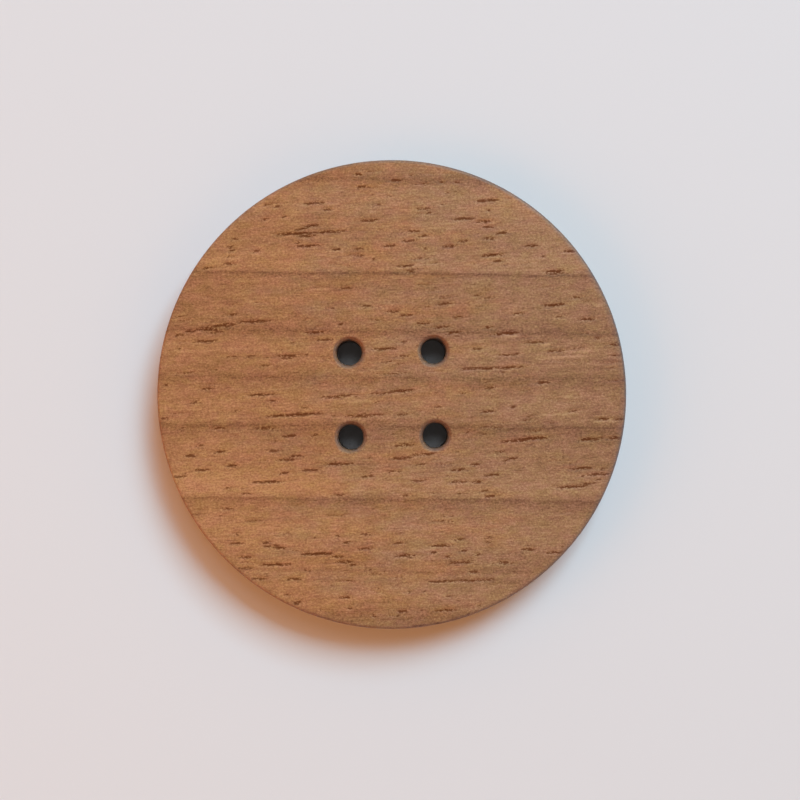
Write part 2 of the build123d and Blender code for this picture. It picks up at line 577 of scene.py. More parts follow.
@dataclass
class Skin:
    """The points, faces and map corners of one closed surface, gathered patch by patch."""

    points: list[np.ndarray] = field(default_factory=list)
    parts: list[np.ndarray] = field(default_factory=list)
    faces: list[np.ndarray] = field(default_factory=list)
    corners: list[np.ndarray] = field(default_factory=list)
    smooth: list[np.ndarray] = field(default_factory=list)
    count: int = 0

    def add_points(self, points: np.ndarray, part: Part) -> np.ndarray:
        """Adds points of a grid of any shape.

        Args:
            points: The points, with x, y and z in the last axis.
            part: The part of the skin that they lie on.

        Returns:
            The points' numbers, in the grid's shape.
        """
        flat = points.reshape(-1, 3)
        numbers = np.arange(self.count, self.count + len(flat)).reshape(points.shape[:-1])
        self.points.append(flat)
        self.parts.append(np.full(len(flat), part.value))
        self.count += len(flat)
        return numbers

    def add_grid(
        self,
        numbers: np.ndarray,
        uv: np.ndarray,
        flip: bool = False,
        keep: np.ndarray | None = None,
        smooth: bool = True,
    ) -> None:
        """Adds the four-sided faces between the rows and columns of a grid.

        Args:
            numbers: The grid's point numbers.
            uv: The grid's places on the map.
            flip: Whether the faces turn the other way.
            keep: Which cells to keep, or None for all.
            smooth: Whether the faces are shaded as one round surface.
        """
        cells = [np.s_[:-1, :-1], np.s_[:-1, 1:], np.s_[1:, 1:], np.s_[1:, :-1]]
        if flip:
            cells.reverse()
        faces = np.stack([numbers[c] for c in cells], axis=-1)
        corners = np.stack([uv[c] for c in cells], axis=-2)
        chosen = np.ones(faces.shape[:2], bool) if keep is None else keep
        self.faces.append(faces[chosen])
        self.corners.append(corners[chosen])
        self.smooth.append(np.full(chosen.sum(), smooth))

    def add_fan(
        self, hub: int, ring: np.ndarray, hub_uv: np.ndarray, ring_uv: np.ndarray, flip: bool
    ) -> None:
        """Adds the three-sided faces between one point and a row of others.

        Args:
            hub: The one point's number.
            ring: The row's numbers, anticlockwise about the hub.
            hub_uv: The hub's place on the map.
            ring_uv: The row's places on the map.
            flip: Whether the faces turn the other way.
        """
        hubs = np.full(len(ring) - 1, hub)
        hub_places = np.broadcast_to(hub_uv, (len(ring) - 1, 2))
        faces = np.stack([hubs, ring[:-1], ring[1:]], axis=1)
        corners = np.stack([hub_places, ring_uv[:-1], ring_uv[1:]], axis=1)
        self.faces.append(faces[:, ::-1] if flip else faces)
        self.corners.append(corners[:, ::-1] if flip else corners)
        self.smooth.append(np.ones(len(faces), bool))

    def gathered(self) -> tuple[np.ndarray, np.ndarray]:
        """Gives all the points in order, and the part of each."""
        return np.concatenate(self.points), np.concatenate(self.parts)

    def to_mesh(self, name: str, points: np.ndarray) -> bpy.types.Mesh:
        """Writes the surface into a new mesh, in metres.

        Args:
            name: The mesh's name.
            points: The points to write, in the order that they were added.

        Returns:
            The mesh, with its map.
        """
        mesh = bpy.data.meshes.new(name)
        mesh.vertices.add(len(points))
        mesh.vertices.foreach_set("co", (points * MM).astype(np.float32).ravel())
        sizes = np.concatenate([np.full(len(f), f.shape[1]) for f in self.faces])
        corner_points = np.concatenate([f.ravel() for f in self.faces])
        mesh.loops.add(len(corner_points))
        mesh.loops.foreach_set("vertex_index", corner_points.astype(np.int32))
        mesh.polygons.add(len(sizes))
        mesh.polygons.foreach_set("loop_start", (np.cumsum(sizes) - sizes).astype(np.int32))
        mesh.update(calc_edges=True)
        bake_map = mesh.uv_layers.new(name="OFBake")
        places = np.concatenate([c.reshape(-1, 2) for c in self.corners])
        bake_map.data.foreach_set("uv", places.astype(np.float32).ravel())
        mesh.polygons.foreach_set("use_smooth", np.concatenate(self.smooth))
        return mesh


@dataclass(frozen=True)
class MapLayout:
    """Where the parts of the skin lie on the square map: the front large, the back smaller beside
    it, the rim in four strips below and the bores in four strips under the back."""

    front_middle: tuple[float, float] = (0.315, 0.685)
    front_radius: float = 0.305
    back_middle: tuple[float, float] = (0.81, 0.81)
    back_radius: float = 0.18
    rim_corner: tuple[float, float] = (0.015, 0.02)
    rim_size: tuple[float, float] = (0.6, 0.075)
    rim_step: float = 0.088
    rim_strips: int = 4
    bore_corner: tuple[float, float] = (0.645, 0.02)
    bore_size: tuple[float, float] = (0.34, 0.13)
    bore_step: float = 0.148

    def face(self, part: Part, shares: np.ndarray) -> np.ndarray:
        """Places points of a face, given as shares of the button's radius.

        Args:
            part: The front or the back.
            shares: Points with x and y in the last axis.

        Returns:
            The places on the map.
        """
        if part is Part.FRONT:
            return np.array(self.front_middle) + shares * self.front_radius
        return np.array(self.back_middle) + shares * self.back_radius * np.array([-1.0, 1.0])

    def strip(self, part: Part, number: int, rows: int, columns: int) -> np.ndarray:
        """Places the grid of one strip of the rim or of one bore.

        Args:
            part: The rim or a bore.
            number: Which strip.
            rows: The grid's rows, from the front face to the back.
            columns: The grid's columns.

        Returns:
            The grid of places on the map.
        """
        rim = part is Part.RIM
        corner = self.rim_corner if rim else self.bore_corner
        size = self.rim_size if rim else self.bore_size
        step = self.rim_step if rim else self.bore_step
        across, down = np.meshgrid(np.linspace(0.0, 1.0, columns), np.linspace(1.0, 0.0, rows))
        return np.stack(
            [corner[0] + size[0] * across, corner[1] + step * number + size[1] * down], axis=-1
        )


class Cloud(NamedTuple):
    """One cloud of noise in the wood.

    along and across are its repeats a millimetre along the grain and across it, detail is how many
    finer layers it has, roughness is how strong those are, and weight is how far it moves the tone.
    """

    along: float
    across: float
    detail: float
    roughness: float
    weight: float = 0.0


class Cells(NamedTuple):
    """Cells that fill the wood at random, some of them with a pore for a core.

    along and across are the cells a millimetre along the grain and across it, bare is the share of
    them with no pore, and strength is how plainly the pores show.
    """

    along: float
    across: float
    bare: float
    strength: float


class Nodes:
    """A short way to write the nodes of a material or of the sky."""

    def __init__(self, owner: bpy.types.ID) -> None:
        """Turns the owner's nodes on.

        Args:
            owner: The material or the sky.
        """
        owner.use_nodes = True
        self.tree = owner.node_tree

    def add(self, kind: str, **settings: object) -> bpy.types.Node:
        """Adds a node.

        Args:
            kind: The node's type, without its ShaderNode.
            settings: Properties to set on it.

        Returns:
            The node.
        """
        node = self.tree.nodes.new("ShaderNode" + kind)
        for key, value in settings.items():
            setattr(node, key, value)
        return node

    def put(self, socket: Socket, value: object) -> None:
        """Links an output to a socket, or sets the socket's own value.

        Args:
            socket: The input socket.
            value: An output socket, a number, a colour or a vector.
        """
        if isinstance(value, Socket):
            self.tree.links.new(value, socket)
        else:
            socket.default_value = value

    def maths(self, operation: str, first: object, second: object, clamp: bool = False) -> Socket:
        """Works out a sum of two values.

        Args:
            operation: The sum's name, such as MULTIPLY.
            first: The first value or output.
            second: The second value or output.
            clamp: Whether the result is held from 0 to 1.

        Returns:
            The result.
        """
        node = self.add("Math", operation=operation, use_clamp=clamp)
        self.put(node.inputs[0], first)
        self.put(node.inputs[1], second)
        return node.outputs[0]

    def levelled(self, value: Socket, gain: float, level: float) -> Socket:
        """Gives a value times a gain, plus a level.

        Args:
            value: The value.
            gain: What it is multiplied by.
            level: What is added then.

        Returns:
            The result.
        """
        return self.maths("ADD", self.maths("MULTIPLY", value, gain), level)

    def stretched(self, places: Socket, along: float, across: float) -> Socket:
        """Scales places by one number along the grain and another across it.

        Args:
            places: Places in millimetres, with the grain along X.
            along: Repeats a millimetre along the grain.
            across: Repeats a millimetre across the grain.

        Returns:
            The scaled places.
        """
        node = self.add("VectorMath", operation="MULTIPLY")
        self.put(node.inputs[0], places)
        self.put(node.inputs[1], (along, across, across))
        return node.outputs[0]

    def noise(self, places: Socket, cloud: Cloud) -> Socket:
        """Adds a cloud of noise, about 0.

        Args:
            places: Places in millimetres, with the grain along X.
            cloud: The cloud.

        Returns:
            The noise, less the half that it lies about.
        """
        node = self.add("TexNoise")
        self.put(node.inputs["Vector"], self.stretched(places, cloud.along, cloud.across))
        self.put(node.inputs["Scale"], 1.0)
        self.put(node.inputs["Detail"], cloud.detail)
        self.put(node.inputs["Roughness"], cloud.roughness)
        return self.maths("SUBTRACT", node.outputs[0], 0.5)

    def mix(self, share: object, first: object, second: object, way: str = "MIX") -> Socket:
        """Mixes two colours.

        Args:
            share: How much of the second.
            first: The first colour or output.
            second: The second colour or output.
            way: How they mix.

        Returns:
            The colour.
        """
        node = self.add("Mix", data_type="RGBA", blend_type=way)
        self.put(node.inputs[0], share)
        self.put(node.inputs[6], first)
        self.put(node.inputs[7], second)
        return node.outputs[2]

    def spread(self, value: object, low: float, high: float) -> Socket:
        """Spreads a range of a value smoothly over 0 to 1.

        Args:
            value: The value or output.
            low: What becomes 0.
            high: What becomes 1.

        Returns:
            The result.
        """
        node = self.add("MapRange", interpolation_type="SMOOTHSTEP")
        self.put(node.inputs["Value"], value)
        self.put(node.inputs["From Min"], low)
        self.put(node.inputs["From Max"], high)
        return node.outputs[0]

    def attribute(self, name: str) -> Socket:
        """Reads an attribute of the mesh as a number.

        Args:
            name: The attribute's name.

        Returns:
            The number.
        """
        return self.add("Attribute", attribute_name=name).outputs["Fac"]


@dataclass(frozen=True)
class WalnutFinish:
    """Sanded and oiled walnut, with open pores and edges scorched where it was cut."""

    name: str = "walnut_oiled"
    fibre_turn_deg: float = 1.4

    # The wood from its deepest brown to its lightest, and where each lies on the scale of tones
    deep: Shown = (98, 61, 38)
    dark: Shown = (126, 84, 55)
    body: Shown = (158, 113, 77)
    light: Shown = (187, 141, 101)
    tone_places: tuple[float, float, float, float] = (0.0, 0.35, 0.68, 1.0)

    # The tone between the rings, the clouds that move it, and the one that speckles rings and pores
    bare_tone: float = 0.74
    fibres: Cloud = Cloud(0.12, 2.6, 4.0, 0.6, 0.37)
    hairs: Cloud = Cloud(0.8, 8.0, 2.0, 0.6, 0.46)
    dust: Cloud = Cloud(4.0, 5.0, 3.0, 0.8, 1.6)
    blotches: Cloud = Cloud(0.9, 1.7, 3.0, 0.75, 0.60)
    drift: Cloud = Cloud(0.05, 0.17, 3.0, 0.5, 0.22)
    ragged: Cloud = Cloud(3.2, 6.0, 2.0, 0.7)
    ring_speckle: float = 2.5

    # The patches of other tints, and a painted warm light that makes the left side redder
    redness: Cloud = Cloud(0.16, 0.5, 3.0, 0.6)
    painted_warmth_slope: float = 0.016
    red_limit: float = 0.28
    cool_tint: Colour = (0.945, 1.0, 1.09, 1.0)
    red_tint: Colour = (1.055, 0.96, 0.86, 1.0)
    goldness: Cloud = Cloud(0.35, 0.6, 4.0, 0.75)
    gold_limit: float = 0.2
    rosy_tint: Colour = (1.03, 0.955, 1.07, 1.0)
    gold_tint: Colour = (0.97, 1.035, 0.90, 1.0)

    # The pores: their colour, how ragged the cut ones are, and the cells of the others
    pore: Shown = (89, 38, 2)
    pore_cover: float = 0.9
    pore_raggedness: float = 4.6
    pore_fringe: float = 0.6
    pore_limits: tuple[float, float] = (0.24, 0.64)
    pore_gain: float = 0.4
    pore_level: float = 0.57
    fine_cells: Cells = Cells(0.8, 3.2, 0.6, 0.4)
    wall_cells: Cells = Cells(0.22, 1.7, 0.35, 0.75)
    core_limits: tuple[float, float] = (0.26, 0.08)

    # The scorched edges: on an arris an ashen grey that is partly a painted highlight of the cool
    # light, char further down a wall
    ash_and_highlight: Shown = (99, 90, 91)
    char: Shown = (70, 56, 47)
    char_limits: tuple[float, float] = (0.5, 0.95)
    scorch_gain: float = 2.0
    scorch_level: float = 0.8

    # The sheen and the fine relief
    rough: float = 0.55
    pore_rough: float = 0.3
    scorch_polish: float = 0.3
    hair_rough: float = 0.25
    specular: float = 0.16
    hair_height: float = 0.6
    dust_height: float = 0.4
    relief_strength: float = 0.35
    relief_depth: float = 0.04

    def material(self) -> bpy.types.Material:
        """Makes the material.

        The tone is that between the rings, less the rings' speckled shade, plus clouds of noise
        stretched along the grain, and it picks the colour from deep brown to light. The rings' shade
        also carries painted highlights and a painted gradient of light and shade. Patches are tinted,
        with the left painted redder as painted warm light, pores darken and roughen the wood, and the
        cut edges are scorched, with painted shade and a painted highlight on them.

        Returns:
            The material.
        """
        material = bpy.data.materials.new(self.name)
        n = Nodes(material)
        grain = self.grain_places(n)
        ragged = n.noise(grain, self.ragged)
        clouds = (self.fibres, self.hairs, self.dust, self.blotches, self.drift)
        noises = {cloud: n.noise(grain, cloud) for cloud in clouds}

        speckle = n.levelled(ragged, self.ring_speckle, 1.0)
        # The rings' shade also carries the painted highlights beside pores and the painted gradient of
        # light and shade
        rings = n.maths("MULTIPLY", n.attribute("ring_shade"), speckle)
        tone = n.maths("SUBTRACT", self.bare_tone, rings)
        for cloud, noise in noises.items():
            tone = n.maths("ADD", tone, n.maths("MULTIPLY", noise, cloud.weight))
        wood = self.tinted(n, grain, self.colour_ramp(n, tone))
        pore = self.pore_share(n, grain, ragged)
        wood = n.mix(n.maths("MULTIPLY", pore, self.pore_cover, True), wood, linear(self.pore))
        wood = self.scorched(n, wood, noises[self.blotches])

        shader = n.tree.nodes["Principled BSDF"]
        n.put(shader.inputs["Base Color"], wood)
        n.put(shader.inputs["Roughness"], self.roughness(n, pore, noises[self.hairs]))
        n.put(shader.inputs["Specular IOR Level"], self.specular)
        n.put(shader.inputs["Normal"], self.relief(n, noises[self.hairs], noises[self.dust]))
        return material

    def grain_places(self, n: Nodes) -> Socket:
        """Gives places on the piece in millimetres, turned so that the grain lies along X.

        Args:
            n: The material's nodes.

        Returns:
            The places.
        """
        turned = n.add("Mapping")
        n.put(turned.inputs["Vector"], n.add("TexCoord").outputs["Object"])
        n.put(turned.inputs["Scale"], (1.0 / MM, 1.0 / MM, 1.0 / MM))
        n.put(turned.inputs["Rotation"], (0.0, 0.0, -math.radians(self.fibre_turn_deg)))
        return turned.outputs[0]

    def colour_ramp(self, n: Nodes, tone: Socket) -> Socket:
        """Turns the tone into the wood's colour.

        Args:
            n: The material's nodes.
            tone: The tone, 0 for the deepest brown and 1 for the lightest.

        Returns:
            The colour.
        """
        ramp = n.add("ValToRGB")
        n.put(ramp.inputs[0], tone)
        colours = (self.deep, self.dark, self.body, self.light)
        elements = ramp.color_ramp.elements
        while len(elements) < len(colours):
            elements.new(1.0)
        for element, place, colour in zip(elements, self.tone_places, colours):
            element.position = place
            element.color = linear(colour)
        return ramp.outputs[0]

    def tinted(self, n: Nodes, grain: Socket, wood: Socket) -> Socket:
        """Tints patches of the wood, redder ones and more golden ones, and paints more red on the left
        as painted warm light from that side.

        Args:
            n: The material's nodes.
            grain: Places in millimetres, with the grain along X.
            wood: The wood's colour.

        Returns:
            The tinted colour.
        """
        side = n.add("SeparateXYZ")
        n.put(side.inputs[0], grain)
        # Painted warm light: the redness rises towards the left
        slope = n.maths("MULTIPLY", side.outputs["X"], self.painted_warmth_slope)
        redness = n.maths("SUBTRACT", n.noise(grain, self.redness), slope)
        goldness = n.noise(grain, self.goldness)
        for patches, limit, low_tint, high_tint in (
            (redness, self.red_limit, self.cool_tint, self.red_tint),
            (goldness, self.gold_limit, self.rosy_tint, self.gold_tint),
        ):
            tint = n.mix(n.spread(patches, -limit, limit), low_tint, high_tint)
            wood = n.mix(1.0, wood, tint, "MULTIPLY")
        return wood

    def pore_share(self, n: Nodes, grain: Socket, ragged: Socket) -> Socket:
        """Gives how much of a pore shows: those cut in the faces, fine ones and those of the walls.

        A cut pore shows where its depth and some noise pass a limit, so its edge is sharp and
        ragged. The others are the cores of long cells along the grain, kept in some cells only,
        so that they show as dashes along the grain and as dots on end grain.

        Args:
            n: The material's nodes.
            grain: Places in millimetres, with the grain along X.
            ragged: The noise that breaks the pores up.

        Returns:
            The share, from 0 to 1.
        """
        depth = n.attribute("pore")
        broken = n.maths("MULTIPLY", depth, n.levelled(ragged, self.pore_raggedness, 1.0))
        fringe = n.maths("MULTIPLY", ragged, self.pore_fringe)
        core = n.spread(n.maths("ADD", broken, fringe), *self.pore_limits)
        cut = n.maths("MULTIPLY", core, n.levelled(depth, self.pore_gain, self.pore_level))
        fine = self.cell_cores(n, grain, self.fine_cells)
        fine = n.maths("MULTIPLY", fine, self.fine_cells.strength)
        down_wall = n.maths("MULTIPLY", n.attribute("wall"), self.wall_cells.strength)
        on_wall = n.maths("MULTIPLY", self.cell_cores(n, grain, self.wall_cells), down_wall)
        return n.maths("MAXIMUM", n.maths("MAXIMUM", cut, fine), on_wall, True)

    def cell_cores(self, n: Nodes, grain: Socket, cells: Cells) -> Socket:
        """Marks the cores of some of the cells that fill the wood.

        Args:
            n: The material's nodes.
            grain: Places in millimetres, with the grain along X.
            cells: The cells.

        Returns:
            1 in a core, 0 away from it.
        """
        texture = n.add("TexVoronoi")
        n.put(texture.inputs["Vector"], n.stretched(grain, cells.along, cells.across))
        n.put(texture.inputs["Scale"], 1.0)
        near = n.spread(texture.outputs["Distance"], *self.core_limits)
        return n.maths("MULTIPLY", near, n.maths("GREATER_THAN", texture.outputs["Color"], cells.bare))

    def scorched(self, n: Nodes, wood: Socket, blotches: Socket) -> Socket:
        """Scorches the cut edges, unevenly.

        Args:
            n: The material's nodes.
            wood: The wood's colour.
            blotches: The noise that makes the scorch uneven.

        Returns:
            The colour with its edges scorched.
        """
        unevenness = n.levelled(blotches, self.scorch_gain, self.scorch_level)
        scorch = n.maths("MULTIPLY", n.attribute("cut_edge"), unevenness, True)
        deep_down = n.spread(n.attribute("wall"), *self.char_limits)
        # On the arris the scorch is ashen grey, partly a painted highlight; further down the wall it is
        # char
        return n.mix(scorch, wood, n.mix(deep_down, linear(self.ash_and_highlight), linear(self.char)))

    def roughness(self, n: Nodes, pore: Socket, hairs: Socket) -> Socket:
        """Works out the roughness: more in the pores, less on the cut edges, and uneven all over.

        Args:
            n: The material's nodes.
            pore: How much of a pore shows.
            hairs: The noise that makes it uneven.

        Returns:
            The roughness.
        """
        rough = n.maths("ADD", self.rough, n.maths("MULTIPLY", pore, self.pore_rough))
        polish = n.maths("MULTIPLY", n.attribute("cut_edge"), self.scorch_polish)
        rough = n.maths("SUBTRACT", rough, polish)
        return n.maths("ADD", rough, n.maths("MULTIPLY", hairs, self.hair_rough), True)

    def relief(self, n: Nodes, hairs: Socket, dust: Socket) -> Socket:
        """Raises the fine relief of the sanded wood.

        Args:
            n: The material's nodes.
            hairs: The noise of the finest fibres.
            dust: The noise of the grit between them.

        Returns:
            The normal.
        """
        hair_height = n.maths("MULTIPLY", hairs, self.hair_height)
        dust_height = n.maths("MULTIPLY", dust, self.dust_height)
        bump = n.add("Bump")
        n.put(bump.inputs["Strength"], self.relief_strength)
        n.put(bump.inputs["Distance"], self.relief_depth * MM)
        n.put(bump.inputs["Height"], n.maths("ADD", hair_height, dust_height))
        return bump.outputs[0]


@dataclass(frozen=True)
class FloorFinish:
    """The finish of the plain pale floor."""

    name: str = "pale_floor"
    colour: Shown = (222, 220, 221)
    rough: float = 0.7
    specular: float = 0.2

    def material(self) -> bpy.types.Material:
        """Makes the material, one matt colour.

        Returns:
            The material.
        """
        material = bpy.data.materials.new(self.name)
        n = Nodes(material)
        shader = n.tree.nodes["Principled BSDF"]
        n.put(shader.inputs["Base Color"], linear(self.colour))
        n.put(shader.inputs["Roughness"], self.rough)
        n.put(shader.inputs["Specular IOR Level"], self.specular)
        return material


@dataclass
class WoodenButton:
    """The button: a disc with eased rims and four bores, cut from one walnut board."""

    radius: float
    thickness: float
    edge_round: float
    bore_radius: float
    countersink: float
    hole_middles: np.ndarray
    figure: WalnutFigure
    finish: WalnutFinish
    layout: MapLayout = MapLayout()

    # How finely the skin is divided, and how near a point lies to what it touches or is level with
    rows: int = 400
    columns: int = 92
    row_crowding: float = 0.994
    round_steps: int = 4
    wall_steps: int = 3
    slope_steps: int = 6
    bore_steps: int = 4
    collar_steps: int = 6
    collar_width: float = 0.75
    touch: float = 0.001
    level_within: float = 0.0001

    # How deep a pore of strength 1 is cut, the greatest strength, and where it fades near an edge
    pore_depth: float = 0.085
    pore_strongest: float = 1.3
    pore_rim_fade: float = 0.45

    # How dark the cut left the outer edge, with places as shares of the arris, and painted shade that
    # makes it darkest towards one bearing and lightest on the far side
    arris_char: float = 0.22
    arris_fade: float = 0.18
    wall_char: float = 0.3
    wall_from: float = 0.6
    wall_fade: float = 0.4
    scorch_and_shade_bearing_deg: float = 5.0
    scorch_and_shade_least: float = 0.18

    # How dark the cut left the holes, and deep in them painted shade as well, with places as shares of
    # the countersink
    mouth_char: float = 0.28
    mouth_fade: float = 0.3
    slope_char: float = 0.52
    bore_char_and_shade: float = 0.95
    bore_from: float = 0.4
    bore_fade: float = 0.4

    @classmethod
    def from_frame(cls, photo: PhotoFrame, finish: WalnutFinish) -> "WoodenButton":
        """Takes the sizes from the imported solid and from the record's mounts.

        Args:
            photo: Where the button lies in the photograph.
            finish: Its finish.

        Returns:
            The button, not yet built.
        """
        low, high = (np.array(corner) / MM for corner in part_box(NODE))
        solid = frame["nodes"][NODE].data.vertices
        flat = np.zeros(len(solid) * 3)
        solid.foreach_get("co", flat)
        points = flat.reshape(-1, 3) / MM
        radius = (high[0] - low[0]) / 2.0
        thickness = high[2] - low[2]
        top = points[points[:, 2] > high[2] - cls.level_within]
        edge_round = radius - np.hypot(top[:, 0], top[:, 1]).max()
        bores = [mount for mount in frame["record"]["mounts"] if mount["kind"] == "bore"]
        middles = np.array([mount["pos_m"][:2] for mount in bores]) / MM
        return cls(
            radius=radius,
            thickness=thickness,
            edge_round=edge_round,
            bore_radius=bores[0]["dims"]["r_mm"],
            countersink=(thickness - bores[0]["dims"]["length_mm"]) / 2.0,
            hole_middles=middles,
            figure=WalnutFigure(radius, photo),
            finish=finish,
        )

    @property
    def mouth_radius(self) -> float:
        """The radius of a hole where its slope meets the face."""
        return self.bore_radius + self.countersink

    @property
    def flat_radius(self) -> float:
        """The radius of a flat face, inside its eased arris."""
        return self.radius - self.edge_round

    def grain_axes(self) -> np.ndarray:
        """Gives the matrix that turns the face grid's rows to run along the fibres."""
        angle = float(self.figure.fibre_angle(np.zeros(2)))
        return np.array([[math.cos(angle), math.sin(angle)], [-math.sin(angle), math.cos(angle)]])

    def face_grid(self) -> np.ndarray:
        """Lays out one face's points in rows along the fibres, from pole to pole.

        With u from -1 to 1 along a row and t from -1 to 1 over the rows, a point is the flat
        radius times (u cos f, sin f), where f is a quarter turn times asin(k t) over asin(k). The
        rows are even over the middle and crowd together at the poles, so that the outline stays round.

        Returns:
            The grid of points, with x and y in the last axis. Its first and last rows are the poles.
        """
        t = np.linspace(-1.0, 1.0, self.rows + 1)
        f = math.pi / 2.0 * np.arcsin(self.row_crowding * t) / math.asin(self.row_crowding)
        u = np.linspace(-1.0, 1.0, self.columns + 1)
        grid = self.flat_radius * np.stack(
            [np.cos(f)[:, None] * u, np.repeat(np.sin(f)[:, None], len(u), axis=1)], axis=-1
        )
        return grid @ self.grain_axes()

    def hole_block(self, grid: np.ndarray, middle: np.ndarray) -> tuple[int, int, int, int]:
        """Finds the block of cells that a hole's collar takes up.

        Args:
            grid: The face's points.
            middle: The hole's middle.

        Returns:
            The block's first and last row and first and last column.
        """
        turned = grid @ self.grain_axes().T
        aim = middle @ self.grain_axes().T
        half = self.mouth_radius + self.collar_width
        heights = turned[:, self.columns // 2, 1]
        low_row, high_row = np.searchsorted(heights, [aim[1] - half, aim[1] + half])
        across = turned[(low_row + high_row) // 2, :, 0]
        low_column, high_column = np.searchsorted(across, [aim[0] - half, aim[0] + half])
        return low_row, high_row, low_column, high_column

    def add_face(self, skin: Skin, part: Part, grid: np.ndarray) -> tuple[np.ndarray, list[np.ndarray]]:
        """Adds one face without its collars.

        Args:
            skin: The skin to add to.
            part: The front or the back.
            grid: The face's points.

        Returns:
            The rim's point numbers, anticlockwise from above, and each collar's likewise.
        """
        height = self.thickness if part is Part.FRONT else 0.0
        flip = part is Part.BACK
        blocks = [self.hole_block(grid, middle) for middle in self.hole_middles]
        used = np.ones(grid.shape[:2], bool)
        cells = np.ones((self.rows, self.columns), bool)
        for low_row, high_row, low_column, high_column in blocks:
            used[low_row + 1:high_row, low_column + 1:high_column] = False
            cells[low_row:high_row, low_column:high_column] = False
        used[[0, -1], 1:] = False
        raised = np.concatenate([grid, np.full((*grid.shape[:2], 1), height)], axis=-1)
        numbers = np.full(grid.shape[:2], -1)
        numbers[used] = skin.add_points(raised[used], part)
        numbers[[0, -1]] = numbers[[0, -1], :1]
        uv = self.layout.face(part, grid / self.radius)
        skin.add_grid(numbers[1:-1], uv[1:-1], flip, cells[1:-1])
        skin.add_fan(numbers[0, 0], numbers[1, ::-1], uv[0, 0], uv[1, ::-1], flip)
        skin.add_fan(numbers[-1, 0], numbers[-2], uv[-1, 0], uv[-2], flip)
        rim = np.concatenate([numbers[:-1, -1], numbers[:0:-1, 0]])
        collars = [
            np.concatenate([
                numbers[low_row, low_column:high_column],
                numbers[low_row:high_row, high_column],
                numbers[high_row, high_column:low_column:-1],
                numbers[high_row:low_row:-1, low_column],
            ])
            for low_row, high_row, low_column, high_column in blocks
        ]
        return rim, collars

    def rim_profile(self) -> np.ndarray:
        """Draws the rim's section from the front face to the back, with a quarter round at each end.

        A quarter round lies in from the wall by the round times 1 - sin a, and down from the face by
        the round times 1 - cos a, for a from 0 to a right angle.

        Returns:
            The section's points as radius and height, the first and last on the faces.
        """
        a = np.linspace(0.0, math.pi / 2.0, self.round_steps + 1)
        inwards = self.edge_round * (1.0 - np.sin(a))
        down = self.edge_round * (1.0 - np.cos(a))
        front = np.stack([self.radius - inwards, self.thickness - down], axis=1)
        return self.mirrored(front, self.wall_steps)

    def bore_profile(self) -> np.ndarray:
        """Draws a bore's section: a straight wall, and a slope of 45 degrees up to each face.

        Down the slope, the radius and the height both fall by a share of the countersink.

        Returns:
            The section's points as radius and height, the first and last on the faces.
        """
        fall = self.countersink * np.linspace(0.0, 1.0, self.slope_steps + 1)
        front = np.stack([self.mouth_radius - fall, self.thickness - fall], axis=1)
        return self.mirrored(front, self.bore_steps)

    def mirrored(self, front: np.ndarray, steps: int) -> np.ndarray:
        """Carries a section on down a straight wall, and repeats it upside down at the back.

        Args:
            front: The section's points from the front face to the wall.
            steps: Steps in the straight wall.

        Returns:
            The whole section.
        """
        wall = np.linspace(front[-1, 1], self.thickness - front[-1, 1], steps + 1)[1:-1]
        straight = np.stack([np.full(len(wall), front[-1, 0]), wall], axis=1)
        back = front[::-1] * np.array([1.0, -1.0]) + np.array([0.0, self.thickness])
        return np.concatenate([front, straight, back])

    def add_rim(self, skin: Skin, front: np.ndarray, back: np.ndarray) -> None:
        """Carries the rim's section round the outline, between the two faces.

        Args:
            skin: The skin to add to.
            front: The front face's rim numbers.
            back: The back face's rim numbers.
        """
        points, _ = skin.gathered()
        bearing = np.arctan2(points[front, 1], points[front, 0])
        profile = self.rim_profile()[1:-1]
        rings = np.stack(
            [
                profile[:, :1] * np.cos(bearing),
                profile[:, :1] * np.sin(bearing),
                np.repeat(profile[:, 1:], len(bearing), axis=1),
            ],
            axis=-1,
        )
        numbers = np.concatenate([front[None], skin.add_points(rings, Part.RIM), back[None]])
        closed = self.closed(numbers)
        length = len(front) // self.layout.rim_strips
        for strip in range(self.layout.rim_strips):
            cut = closed[:, strip * length:(strip + 1) * length + 1]
            skin.add_grid(cut, self.layout.strip(Part.RIM, strip, *cut.shape), True)

    def add_bore(self, skin: Skin, number: int, front: np.ndarray, back: np.ndarray) -> None:
        """Adds one bore, with the collar of face round each of its mouths.

        A collar's ring s of the way in is the block's edge times 1 - s plus the mouth's circle
        times s, and the bore is its section carried round that circle.

        Args:
            skin: The skin to add to.
            number: Which hole.
            front: The point numbers round the front collar.
            back: The point numbers round the back collar.
        """
        points, _ = skin.gathered()
        middle = self.hole_middles[number]
        edge = points[front, :2]
        bearing = np.arctan2(edge[:, 1] - middle[1], edge[:, 0] - middle[0])
        ray = np.stack([np.cos(bearing), np.sin(bearing)], axis=1)
        profile = self.bore_profile()
        mouth = middle + ray * profile[0, 0]
        share = np.linspace(0.0, 1.0, self.collar_steps + 1)[1:, None, None]
        collar = edge * (1.0 - share) + mouth * share
        front_rings = self.add_level_rings(skin, collar, self.thickness, Part.FRONT)
        back_rings = self.add_level_rings(skin, collar, 0.0, Part.BACK)
        wall = np.concatenate(
            [
                middle + ray * profile[1:-1, None, :1],
                np.repeat(profile[1:-1, None, 1:], len(bearing), axis=1),
            ],
            axis=-1,
        )
        wall_rings = skin.add_points(wall, Part.BORE)
        whole = np.concatenate([edge[None], collar]) / self.radius
        for part, outer, rings in ((Part.FRONT, front, front_rings), (Part.BACK, back, back_rings)):
            numbers = np.concatenate([outer[None], rings])
            uv = self.layout.face(part, whole)
            skin.add_grid(self.closed(numbers), self.closed(uv), part is Part.BACK)
        tube = self.closed(np.concatenate([front_rings[-1:], wall_rings, back_rings[-1:]]))
